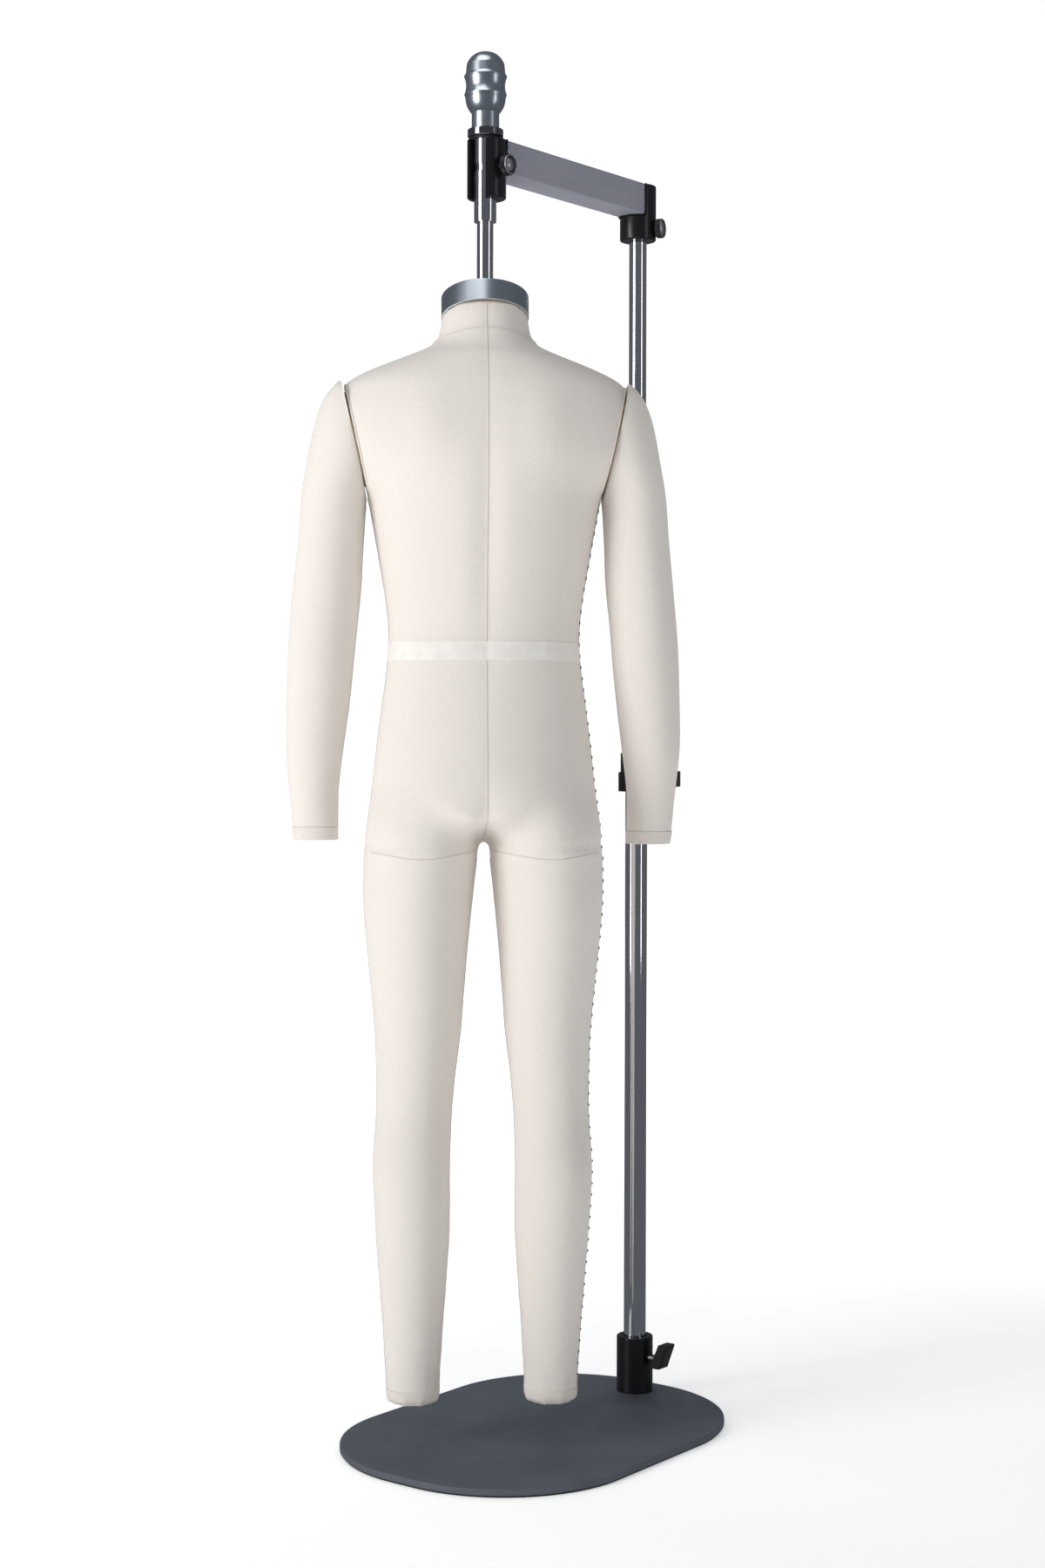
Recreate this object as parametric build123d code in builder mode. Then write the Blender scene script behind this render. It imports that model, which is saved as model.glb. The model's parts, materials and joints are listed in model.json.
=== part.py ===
from build123d import *
import os
from math import cos, radians, sin, tan

os.makedirs("parts", exist_ok=True)

# A full-body dress form that hangs from a steel stand. Millimetres, +Z up. The origin is on the
# floor under the spindle that carries the form. The form faces -Y, so its right side is -X.

# Stand
ARM_ANGLE = 229.1          # direction of the arm from the spindle, counted from +X
REACH = 359.0              # spindle axis to pole axis
MAT_THICK = 3.0
PLATE_LENGTH = 574.0
PLATE_WIDTH = 420.0
PLATE_THICK = 8.0
PLATE_CORNER = 190.0
PLATE_CENTRE = 120.0       # spindle axis to plate centre
PLATE_TOP = MAT_THICK + PLATE_THICK
SCREW_CIRCLE = 36.0        # screws that hold the socket to the plate
SCREW_SHANK = 6.0
SCREW_HEAD = 11.0
SCREW_COUNT = 4
SCREW_LENGTH = PLATE_THICK + 9.0
SOCKET_DIA = 52.5
SOCKET_HEIGHT = 80.0
SOCKET_FLOOR = 12.0
LINER_DIA = 35.0
RUNNING = 0.05             # radial clearance of a shaft in its hole
LOWER_DIA = 32.0
LOWER_BORE = 28.0
UPPER_DIA = 25.4
UPPER_BORE = 21.4
UPPER_FOOT = 555.0         # height of the upper pole's lower end
GUIDE_HEIGHT = 25.0
COLLAR_BOTTOM = 882.0
COLLAR_STEP = 28.0
COLLAR_RING_DIA = 46.0
LOWER_TOP = COLLAR_BOTTOM + 1.5 * COLLAR_STEP
COLLAR_TOP = COLLAR_BOTTOM + 2 * COLLAR_STEP
END_CLEARANCE = 0.2        # where the end of one tube stands on another part
ARM_TOP = 1762.0
ARM_SECTION = 45.0
ARM_WALL = 3.0
HEAD_DIA = 52.5            # sleeves at both ends of the arm
HEAD_HEIGHT = 80.0
HEAD_CAP = 6.0
UPPER_TOP = ARM_TOP - HEAD_CAP - END_CLEARANCE
CRADLE_SHIFT = 3.0         # cradle's centre, past the spindle axis towards the pole

# Clamp levers and knobs
SCREW_DIA = 10.0
SCREW_HOLE = SCREW_DIA + 2 * RUNNING
SCREW_END = 50.0           # from the pole's axis
TIP_CLEARANCE = 0.3        # a slack clamp screw's tip, off the shaft that it bears on
LEVER_START = 38.0         # lever's inner face, from the pole's axis
KNOB_DIA = 26.0
KNOB_THICK = 10.0
LEVER_WIDTH = 23.0
LEVER_ANGLE = -90.0        # from the arm's direction, seen from above
COLLAR_LEVER_ANGLE = -60.0
ARM_KNOB_ANGLE = -74.0
BASE_SCREW_HEIGHT = 62.0
COLLAR_SCREW_HEIGHT = 900.0
ARM_KNOB_HEIGHT = 1699.0
CRADLE_KNOB_HEIGHT = 1723.0
KNOB_SCREW_DIA = 6.0
KNOB_HOLE = KNOB_SCREW_DIA + 2 * RUNNING
ARM_KNOB_START = 29.0      # knob's inner face, from the pole's axis
CRADLE_KNOB_START = 34.0   # knob's inner face, from the spindle's axis

# Hanger
BUSH_DIA = 30.0
BUSH_BOTTOM = 1651.0
SLOT_WIDTH = 30.6
GROOVE_DEPTH = 1.5
GROOVE_HEIGHT = 9.0
ROD_DIA = 22.0
ROD_TOP = 1822.0
WASHER_THICK = 2.5
FLANGE_DIA = 48.0
FLANGE_TOP = 1775.0
THRUST_THICK = 1.2
FACE_CLEARANCE = 0.1       # between faces that slide on each other
FINIAL_COLLAR_DIA = 37.0
FINIAL_BOTTOM = 1797.0
OVERALL_HEIGHT = 1879.0

# Neck
NECK_TILT = 17.0           # the cap slopes down to the front
CAP_DIA = 117.0
CAP_HEIGHT = 30.0
CAP_TOP = 1550.0           # height of the cap's face on the spindle axis
CAP_WALL = 3.0
NECK_PLATE_THICK = 10.0
ROD_FOOT = 1488.0          # lower end of the hanger rod
CUT = 60.0                 # tall enough to pass right through the neck parts

# Body: padding and fabric over a rigid shell
PADDING = 9.0
ARM_PADDING = 8.0
SHELL_WALL = 3.0
SHELL_GAP = 0.4            # between the rigid shell and the padding round it
NECK_SEAM = 1482.0
CROTCH = 815.0
ANKLE = 76.0
GAP = 0.6                  # between a turning limb and the body
ARMHOLE_TILT = 12.6
ARMHOLE_X = 172.5          # armhole plane's distance from the middle, at its centre
ARMHOLE_Z = 1358.0
ARMHOLE_DEPTH = 5.0        # armhole centre, behind the spindle axis
ARMHOLE_SIZE = (112.0, 128.0)  # plates on both sides of an armhole, depth by height
PLATE = 4.0                # their thickness
PIN_DIA = 12.0
PIN_REACH = 28.0           # how far an arm's pin stands out of the shoulder plate
ARMPIT = 1284.0
TAPE_CENTRE = 1075.0
TAPE_HEIGHT = 25.0
TAPE_THICK = 1.0
HEM_HEIGHT = 17.0
HEM_THICK = 1.2

# Torso sections: height, half width, depth to the front, depth to the back
TORSO = [
    (1545, 57, 58, 56),
    (1510, 58.5, 61, 59),
    (NECK_SEAM, 76, 69, 72),
    (1455, 138, 83, 91),
    (1430, 184, 94, 102),
    (1385, 206, 108, 112),
    (1340, 200, 118, 116),
    (1308, 175, 123, 113),
    (ARMPIT, 156, 123, 110),
    (1248, 149, 121, 104),
    (1200, 141, 114, 96),
    (1102, 127, 104, 83),
    (1004, 136, 104, 97),
    (892, 149, 100, 117),
    (CROTCH, 158, 97, 114),
]

# Leg sections: height, distance from the middle, half width, depth to the front and to the back
LEG = [
    (CROTCH, 82.5, 76, 95, 112),
    (738, 87.5, 71.8, 90, 98),
    (682, 88, 67, 83, 88),
    (570, 87, 57.5, 69, 70),
    (458, 92, 50.5, 56, 58),
    (388, 95, 51.5, 49, 69),
    (290, 93, 48.5, 45, 62),
    (178, 92.5, 40, 38, 44),
    (ANKLE, 92, 35, 35, 38),
]

# Arm sections, as for a leg, with the part that the armhole plane cuts away
ARM = [
    (1432, 176, 22, 34, 38),
    (1415, 172, 41, 48, 52),
    (1380, 176, 50, 60, 62),
    (1330, 187, 50, 60, 62),
    (1284, 201, 43, 52, 54),
    (1172, 209, 45, 45, 49),
    (1060, 218, 43.8, 40, 45),
    (948, 226, 38, 44, 31),
    (870, 227, 31, 50, 6),
    (824, 224, 29, 51, -1),
]
ARM_SOLE = ARM[-1][0]
SIDES = {"right": -1, "left": 1}


def along_arm(distance, height=0.0, angle=0.0):
    """Horizontal plane centred over a point of the arm; its x axis is turned from the arm's."""
    direction = radians(ARM_ANGLE)
    turned = radians(ARM_ANGLE + angle)
    return Plane(
        origin=(distance * cos(direction), distance * sin(direction), height),
        x_dir=(cos(turned), sin(turned), 0),
        z_dir=(0, 0, 1),
    )


def facing(distance, height, angle, start=0.0):
    """Upright plane whose z axis is a radial direction and whose y axis is up."""
    turned = radians(ARM_ANGLE + angle)
    centre = along_arm(distance, height).origin
    outward = Vector(cos(turned), sin(turned), 0)
    return Plane(origin=centre + outward * start, x_dir=(-outward.Y, outward.X, 0), z_dir=outward)


def armhole(side, offset=0.0):
    """The tilted plane between torso and arm; its z axis points out of the body, its y axis up."""
    tilt = radians(ARMHOLE_TILT)
    outward = Vector(side * cos(tilt), 0, -sin(tilt))
    centre = Vector(side * ARMHOLE_X, ARMHOLE_DEPTH, ARMHOLE_Z)
    return Plane(origin=centre + outward * offset, x_dir=(0, side, 0), z_dir=outward)


def rod(plane, diameter, height, mode=Mode.ADD):
    with BuildSketch(plane) as disc:
        Circle(diameter / 2)
    extrude(disc.sketch, amount=height, mode=mode)


def tube(plane, outer, inner, height):
    with BuildSketch(plane) as annulus:
        Circle(outer / 2)
        Circle(inner / 2, mode=Mode.SUBTRACT)
    extrude(annulus.sketch, amount=height)


def body_section(height, x, half_width, front, back, inset):
    """Oval section of the body, whose depths to front and back are measured from the spindle."""
    with BuildSketch(Plane((x, (back - front) / 2, height))) as outline:
        Ellipse(half_width - inset, (front + back) / 2 - inset)
    return outline.sketch


def torso_loft(low, high, inset=0.0, mode=Mode.ADD):
    """Loft the torso sections of a span of height; an inset one stays clear of the armholes."""
    sections = []
    for z, width, front, back in TORSO:
        if low <= z <= high:
            limit = ARMHOLE_X + (z - ARMHOLE_Z) * tan(radians(ARMHOLE_TILT)) - 12
            narrowed = min(width, limit + PADDING) if inset > 0 and z >= ARMPIT else width
            sections.append(body_section(z, 0, narrowed, front, back, inset))
    loft(sections, ruled=True, mode=mode)


def limb_loft(sections, side, inset=0.0, mode=Mode.ADD):
    outlines = [body_section(z, side * x, *sizes, inset) for z, x, *sizes in sections]
    loft(outlines, ruled=True, mode=mode)


def keep_between(low, high):
    """Trim the current part to a span of height."""
    split(bisect_by=Plane.XY.offset(low), keep=Keep.TOP)
    split(bisect_by=Plane.XY.offset(high), keep=Keep.BOTTOM)


def save(piece, name):
    piece.part.label = name
    export_step(piece.part, f"parts/{name}.step")


# ---- Base -----------------------------------------------------------------------------------

pole = along_arm(REACH)

with BuildPart() as base_mat:
    with BuildSketch(along_arm(PLATE_CENTRE)):
        RectangleRounded(PLATE_LENGTH - 5, PLATE_WIDTH - 5, PLATE_CORNER - 2.5)
    extrude(amount=MAT_THICK)
save(base_mat, "base_mat")


def countersunk_screws(mode=Mode.ADD):
    """Screws set into the underside of the base plate, pointing up into the socket."""
    underside = pole.offset(MAT_THICK)
    with BuildSketch(underside) as heads:
        with PolarLocations(SCREW_CIRCLE / 2, SCREW_COUNT, start_angle=45):
            Circle(SCREW_HEAD / 2)
    with BuildSketch(underside) as shanks:
        with PolarLocations(SCREW_CIRCLE / 2, SCREW_COUNT, start_angle=45):
            Circle(SCREW_SHANK / 2)
    extrude(shanks.sketch, amount=SCREW_LENGTH, mode=mode)
    extrude(heads.sketch, amount=(SCREW_HEAD - SCREW_SHANK) / 2, taper=45, mode=mode)


with BuildPart() as base_plate:
    with BuildSketch(along_arm(PLATE_CENTRE, MAT_THICK)):
        RectangleRounded(PLATE_LENGTH, PLATE_WIDTH, PLATE_CORNER)
    extrude(amount=PLATE_THICK)
    fillet(base_plate.faces().sort_by(Axis.Z)[-1].edges(), 1.5)
    countersunk_screws(Mode.SUBTRACT)
save(base_plate, "base_plate")

with BuildPart() as base_screws:
    countersunk_screws()
save(base_screws, "base_screws")

base_screw_plane = facing(REACH, BASE_SCREW_HEIGHT, LEVER_ANGLE)

with BuildPart() as base_socket:
    rod(pole.offset(PLATE_TOP), SOCKET_DIA, SOCKET_HEIGHT)
    fillet(base_socket.edges().sort_by(Axis.Z)[-1], 2)
    rod(pole.offset(PLATE_TOP + SOCKET_FLOOR), LINER_DIA, SOCKET_HEIGHT, Mode.SUBTRACT)
    rod(base_screw_plane, SCREW_HOLE, SOCKET_DIA, Mode.SUBTRACT)
    countersunk_screws(Mode.SUBTRACT)
save(base_socket, "base_socket")

with BuildPart() as base_bush:
    tube(
        pole.offset(PLATE_TOP + SOCKET_FLOOR),
        LINER_DIA,
        LOWER_DIA + 2 * RUNNING,
        SOCKET_HEIGHT - SOCKET_FLOOR - 2,
    )
    rod(base_screw_plane, SCREW_HOLE, SOCKET_DIA, Mode.SUBTRACT)
save(base_bush, "base_bush")

# ---- Clamp levers, drawn on a plane that faces outward from the pole ------------------------


def clamp_screw(screw_plane, tip, end, diameter):
    """A plain screw along a radial plane's axis, from its tip to its end."""
    rod(screw_plane.offset(tip), diameter, end - tip)


def clamp_lever(piece, screw_plane, roll):
    """A short paddle that leans outward towards its tip, turned about its screw by roll."""
    side_plane = Plane(
        origin=screw_plane.origin,
        x_dir=screw_plane.z_dir,
        z_dir=screw_plane.x_dir.rotate(Axis((0, 0, 0), screw_plane.z_dir), roll),
    )
    with BuildSketch(side_plane) as profile:
        with BuildLine():
            Polyline(
                (LEVER_START, -12), (LEVER_START + 13, -12), (LEVER_START + 26, 23),
                (LEVER_START + 11, 23), (LEVER_START, -2), close=True,
            )
        make_face()
    extrude(profile.sketch, amount=LEVER_WIDTH / 2, both=True)
    outward = Axis(screw_plane.origin, screw_plane.z_dir)
    fillet(piece.faces().sort_by(outward)[-1].edges(), 2.5)
    rod(screw_plane, SCREW_DIA, SCREW_END, Mode.SUBTRACT)


def clamp_knob(piece, screw_plane, start):
    """A round knob with a dished face."""
    rod(screw_plane.offset(start), KNOB_DIA, KNOB_THICK)
    outward = Axis(screw_plane.origin, screw_plane.z_dir)
    chamfer(piece.edges().group_by(outward)[-1], 1)
    chamfer(piece.edges().group_by(outward)[0], 1)
    rod(screw_plane.offset(start + KNOB_THICK - 3), KNOB_DIA - 9, 3, Mode.SUBTRACT)
    rod(screw_plane.offset(start), KNOB_SCREW_DIA, KNOB_THICK - 4, Mode.SUBTRACT)


collar_screw_plane = facing(REACH, COLLAR_SCREW_HEIGHT, COLLAR_LEVER_ANGLE)
arm_knob_plane = facing(REACH, ARM_KNOB_HEIGHT, ARM_KNOB_ANGLE)
cradle_knob_plane = facing(0, CRADLE_KNOB_HEIGHT, LEVER_ANGLE)

with BuildPart() as base_clamp_screw:
    clamp_screw(base_screw_plane, LOWER_DIA / 2 + TIP_CLEARANCE, SCREW_END, SCREW_DIA)
save(base_clamp_screw, "base_clamp_screw")

with BuildPart() as base_clamp_lever:
    clamp_lever(base_clamp_lever, base_screw_plane, 180)
save(base_clamp_lever, "base_clamp_lever")

with BuildPart() as collar_clamp_screw:
    clamp_screw(collar_screw_plane, UPPER_DIA / 2 + TIP_CLEARANCE, SCREW_END, SCREW_DIA)
save(collar_clamp_screw, "collar_clamp_screw")

with BuildPart() as collar_clamp_lever:
    clamp_lever(collar_clamp_lever, collar_screw_plane, 90)
save(collar_clamp_lever, "collar_clamp_lever")

with BuildPart() as arm_knob_screw:
    clamp_screw(arm_knob_plane, UPPER_DIA / 2 + TIP_CLEARANCE, ARM_KNOB_START + 6, KNOB_SCREW_DIA)
save(arm_knob_screw, "arm_knob_screw")

with BuildPart() as arm_knob:
    clamp_knob(arm_knob, arm_knob_plane, ARM_KNOB_START)
save(arm_knob, "arm_knob")

with BuildPart() as cradle_knob_screw:
    clamp_screw(
        cradle_knob_plane,
        BUSH_DIA / 2 + TIP_CLEARANCE,
        CRADLE_KNOB_START + 6,
        KNOB_SCREW_DIA,
    )
save(cradle_knob_screw, "cradle_knob_screw")

with BuildPart() as cradle_knob:
    clamp_knob(cradle_knob, cradle_knob_plane, CRADLE_KNOB_START)
save(cradle_knob, "cradle_knob")

# ---- Pole -----------------------------------------------------------------------------------

lower_foot = PLATE_TOP + SOCKET_FLOOR + END_CLEARANCE

with BuildPart() as lower_pole:
    tube(pole.offset(lower_foot), LOWER_DIA, LOWER_BORE, LOWER_TOP - lower_foot)
    rod(collar_screw_plane, SCREW_HOLE, SOCKET_DIA, Mode.SUBTRACT)
save(lower_pole, "lower_pole")

with BuildPart() as collar_body:
    tube(pole.offset(COLLAR_BOTTOM), SOCKET_DIA, LOWER_DIA, COLLAR_STEP)
    chamfer(collar_body.faces().sort_by(Axis.Z)[-1].edges().sort_by(SortBy.LENGTH)[-1], 1)
    rod(collar_screw_plane, SCREW_HOLE, SOCKET_DIA, Mode.SUBTRACT)
save(collar_body, "collar_body")

with BuildPart() as collar_ring:
    tube(pole.offset(COLLAR_BOTTOM + COLLAR_STEP), COLLAR_RING_DIA, LOWER_DIA, COLLAR_STEP)
    chamfer(collar_ring.faces().sort_by(Axis.Z)[-1].edges().sort_by(SortBy.LENGTH)[-1], 1)
save(collar_ring, "collar_ring")

with BuildPart() as collar_bush:
    tube(
        pole.offset(COLLAR_BOTTOM + 3),
        LOWER_BORE,
        UPPER_DIA + 2 * RUNNING,
        LOWER_TOP - COLLAR_BOTTOM - 3,
    )
    tube(pole.offset(LOWER_TOP), LOWER_DIA, UPPER_DIA + 2 * RUNNING, COLLAR_TOP - LOWER_TOP - 1)
    rod(collar_screw_plane, SCREW_HOLE, SOCKET_DIA, Mode.SUBTRACT)
save(collar_bush, "collar_bush")

with BuildPart() as upper_pole:
    tube(pole.offset(UPPER_FOOT), UPPER_DIA, UPPER_BORE, UPPER_TOP - UPPER_FOOT)
save(upper_pole, "upper_pole")

with BuildPart() as pole_guide:
    tube(pole.offset(UPPER_FOOT), LOWER_BORE - 2 * RUNNING, UPPER_DIA, GUIDE_HEIGHT)
save(pole_guide, "pole_guide")

# ---- Arm ------------------------------------------------------------------------------------

head_bottom = ARM_TOP - HEAD_HEIGHT
cradle_centre = along_arm(CRADLE_SHIFT, head_bottom)

with BuildPart() as pole_top_socket:
    rod(pole.offset(head_bottom), HEAD_DIA, HEAD_HEIGHT)
    fillet(pole_top_socket.edges().group_by(Axis.Z)[0], 3)
    fillet(pole_top_socket.edges().group_by(Axis.Z)[-1], 2)
    rod(pole.offset(head_bottom), UPPER_DIA + 2 * RUNNING, HEAD_HEIGHT - HEAD_CAP, Mode.SUBTRACT)
    rod(arm_knob_plane, KNOB_HOLE, HEAD_DIA, Mode.SUBTRACT)
save(pole_top_socket, "pole_top_socket")

with BuildPart() as hanger_cradle:
    rod(cradle_centre, HEAD_DIA, HEAD_HEIGHT)
    fillet(hanger_cradle.edges().group_by(Axis.Z)[0], 3)
    fillet(hanger_cradle.edges().group_by(Axis.Z)[-1], 2)
    with BuildSketch(along_arm(0, head_bottom)) as slot:
        Circle(SLOT_WIDTH / 2)
        with Locations((-HEAD_DIA / 2, 0)):
            Rectangle(HEAD_DIA, SLOT_WIDTH)
    extrude(slot.sketch, amount=HEAD_HEIGHT, mode=Mode.SUBTRACT)
    rod(cradle_knob_plane, KNOB_HOLE, HEAD_DIA, Mode.SUBTRACT)
save(hanger_cradle, "hanger_cradle")

with BuildPart() as arm_tube:
    tube_middle = along_arm((CRADLE_SHIFT + REACH) / 2, ARM_TOP - ARM_SECTION)
    with BuildSketch(tube_middle) as tube_outline:
        Rectangle(REACH - CRADLE_SHIFT, ARM_SECTION)
    extrude(tube_outline.sketch, amount=ARM_SECTION)
    fillet(arm_tube.edges().filter_by(Axis((0, 0, 0), tube_middle.x_dir)), 3)
    with BuildSketch(tube_middle.offset(ARM_WALL)) as tube_inside:
        Rectangle(REACH - CRADLE_SHIFT, ARM_SECTION - 2 * ARM_WALL)
    extrude(tube_inside.sketch, amount=ARM_SECTION - 2 * ARM_WALL, mode=Mode.SUBTRACT)
    rod(cradle_centre, HEAD_DIA, HEAD_HEIGHT, Mode.SUBTRACT)
    rod(pole.offset(head_bottom), HEAD_DIA, HEAD_HEIGHT, Mode.SUBTRACT)
save(arm_tube, "arm_tube")

# ---- Hanger ---------------------------------------------------------------------------------

flange_bottom = ARM_TOP + WASHER_THICK
bush_bore = ROD_DIA + 2 * RUNNING
thrust_top = FLANGE_TOP + THRUST_THICK

with BuildPart() as hanger_bush:
    tube(Plane.XY.offset(BUSH_BOTTOM), BUSH_DIA, bush_bore, FLANGE_TOP - BUSH_BOTTOM)
    with BuildSketch(Plane.XY.offset(CRADLE_KNOB_HEIGHT - GROOVE_HEIGHT / 2)) as groove:
        Circle(BUSH_DIA)
        Circle(BUSH_DIA / 2 - GROOVE_DEPTH, mode=Mode.SUBTRACT)
    extrude(groove.sketch, amount=GROOVE_HEIGHT, mode=Mode.SUBTRACT)
save(hanger_bush, "hanger_bush")

with BuildPart() as cradle_washer:
    tube(Plane.XY.offset(ARM_TOP + FACE_CLEARANCE), 38, BUSH_DIA, WASHER_THICK - FACE_CLEARANCE)
save(cradle_washer, "cradle_washer")

with BuildPart() as bush_flange:
    tube(Plane.XY.offset(flange_bottom), FLANGE_DIA, BUSH_DIA, FLANGE_TOP - flange_bottom)
    chamfer(bush_flange.edges().sort_by(SortBy.LENGTH)[-2:], 1)
save(bush_flange, "bush_flange")

with BuildPart() as thrust_washer:
    tube(Plane.XY.offset(FLANGE_TOP), 34, bush_bore, THRUST_THICK)
save(thrust_washer, "thrust_washer")

with BuildPart() as finial_collar:
    collar_foot = thrust_top + FACE_CLEARANCE
    tube(Plane.XY.offset(collar_foot), FINIAL_COLLAR_DIA, ROD_DIA, FINIAL_BOTTOM - collar_foot)
save(finial_collar, "finial_collar")

with BuildPart() as finial:
    with BuildSketch(Plane.XZ):
        with BuildLine():
            bowl = ThreePointArc((19, FINIAL_BOTTOM), (24.8, FINIAL_BOTTOM + 9), (27, FINIAL_BOTTOM + 20))
            lower_lip = Line(bowl @ 1, (28.6, FINIAL_BOTTOM + 24.5))
            waist = ThreePointArc(lower_lip @ 1, (26.2, FINIAL_BOTTOM + 36), (29, FINIAL_BOTTOM + 49))
            upper_lip = Line(waist @ 1, (26.5, FINIAL_BOTTOM + 53))
            side = Line(upper_lip @ 1, (25.4, FINIAL_BOTTOM + 65))
            dome = ThreePointArc(side @ 1, (17, OVERALL_HEIGHT - 5), (4, OVERALL_HEIGHT))
            bore = ROD_DIA / 2
            Polyline(dome @ 1, (0, OVERALL_HEIGHT), (0, ROD_TOP), (bore, ROD_TOP), (bore, FINIAL_BOTTOM), bowl @ 0)
        make_face()
    revolve(axis=Axis.Z)
save(finial, "finial")

# ---- Neck -----------------------------------------------------------------------------------

cap_face = Plane(
    origin=(0, 0, CAP_TOP),
    x_dir=(1, 0, 0),
    z_dir=(0, -sin(radians(NECK_TILT)), cos(radians(NECK_TILT))),
)
cap_rim = cap_face.offset(-CAP_HEIGHT)

with BuildPart() as neck_cap:
    rod(cap_rim, CAP_DIA, CAP_HEIGHT)
    fillet(neck_cap.edges().filter_by(GeomType.CIRCLE).sort_by(Axis.Z)[-1], 2)
    rod(cap_rim, CAP_DIA - 2 * CAP_WALL, CAP_HEIGHT - CAP_WALL, Mode.SUBTRACT)
    rod(Plane.XY.offset(CAP_TOP - CUT / 2), ROD_DIA, CUT, Mode.SUBTRACT)
save(neck_cap, "neck_cap")

with BuildPart() as neck_plate:
    rod(cap_rim.offset(4), CAP_DIA - 2 * CAP_WALL, NECK_PLATE_THICK)
    rod(Plane.XY.offset(ROD_FOOT), ROD_DIA, 2 * CUT, Mode.SUBTRACT)
save(neck_plate, "neck_plate")

with BuildPart() as hanger_rod:
    rod(Plane.XY.offset(ROD_FOOT), ROD_DIA, ROD_TOP - ROD_FOOT)
save(hanger_rod, "hanger_rod")

with BuildPart() as neck_washer:
    rod(cap_rim.offset(1.5), 44, 2.5)
    rod(Plane.XY.offset(ROD_FOOT), ROD_DIA, 2 * CUT, Mode.SUBTRACT)
save(neck_washer, "neck_washer")

with BuildPart() as neck_nut:
    with BuildSketch(cap_rim.offset(-11.5)) as hexagon:
        RegularPolygon(18, 6)
    extrude(hexagon.sketch, amount=13)
    rod(Plane.XY.offset(ROD_FOOT), ROD_DIA, 2 * CUT, Mode.SUBTRACT)
save(neck_nut, "neck_nut")

# ---- Torso ----------------------------------------------------------------------------------

NECK_TOP = TORSO[0][0]
hollow = PADDING + SHELL_GAP


def armhole_plate(side, start, mode=Mode.ADD):
    """An oval plate parallel to the armhole plane."""
    with BuildSketch(armhole(side, start)) as oval:
        Ellipse(ARMHOLE_SIZE[0] / 2, ARMHOLE_SIZE[1] / 2)
    extrude(oval.sketch, amount=PLATE, mode=mode)


with BuildPart() as torso_cover:
    torso_loft(ARMPIT, NECK_TOP)
    split(bisect_by=cap_rim, keep=Keep.BOTTOM)
    for side in SIDES.values():
        split(bisect_by=armhole(side), keep=Keep.BOTTOM)
    torso_loft(CROTCH, ARMPIT)
    torso_loft(CROTCH, NECK_TOP, PADDING, Mode.SUBTRACT)
    for side in SIDES.values():
        armhole_plate(side, -PLATE, Mode.SUBTRACT)
        rod(armhole(side, -PLATE - 8), PIN_DIA, 8, Mode.SUBTRACT)
save(torso_cover, "torso_cover")

with BuildPart() as torso_shell:
    torso_loft(CROTCH, NECK_SEAM, hollow)
    torso_loft(CROTCH, NECK_SEAM, hollow + SHELL_WALL, Mode.SUBTRACT)
save(torso_shell, "torso_shell")

with BuildPart() as waist_tape:
    torso_loft(1004, 1102, -TAPE_THICK)
    torso_loft(1004, 1102, 0, Mode.SUBTRACT)
    keep_between(TAPE_CENTRE - TAPE_HEIGHT / 2, TAPE_CENTRE + TAPE_HEIGHT / 2)
save(waist_tape, "waist_tape")

for name, side in SIDES.items():
    with BuildPart() as shoulder_plate:
        armhole_plate(side, -PLATE)
        rod(armhole(side, -PLATE), PIN_DIA, PLATE, Mode.SUBTRACT)
    save(shoulder_plate, f"{name}_shoulder_plate")

    with BuildPart() as arm_pin:
        rod(armhole(side, -PLATE - 8), PIN_DIA, PLATE + 8 + PIN_REACH)
    save(arm_pin, f"{name}_arm_pin")

# ---- Legs -----------------------------------------------------------------------------------

for name, side in SIDES.items():
    with BuildPart() as leg_cover:
        limb_loft(LEG, side)
        limb_loft(LEG, side, PADDING, Mode.SUBTRACT)
    save(leg_cover, f"{name}_leg_cover")

    with BuildPart() as leg_shell:
        limb_loft(LEG, side, hollow)
        limb_loft(LEG, side, hollow + SHELL_WALL, Mode.SUBTRACT)
    save(leg_shell, f"{name}_leg_shell")

    with BuildPart() as ankle_disc:
        limb_loft(LEG, side, hollow + SHELL_WALL + SHELL_GAP)
        keep_between(ANKLE, ANKLE + PLATE)
    save(ankle_disc, f"{name}_ankle_disc")

    with BuildPart() as ankle_hem:
        limb_loft(LEG, side, -HEM_THICK)
        limb_loft(LEG, side, 0, Mode.SUBTRACT)
        keep_between(ANKLE, ANKLE + HEM_HEIGHT)
    save(ankle_hem, f"{name}_ankle_hem")

# ---- Arms -----------------------------------------------------------------------------------

pin_hole = PIN_DIA + 2 * RUNNING

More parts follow.
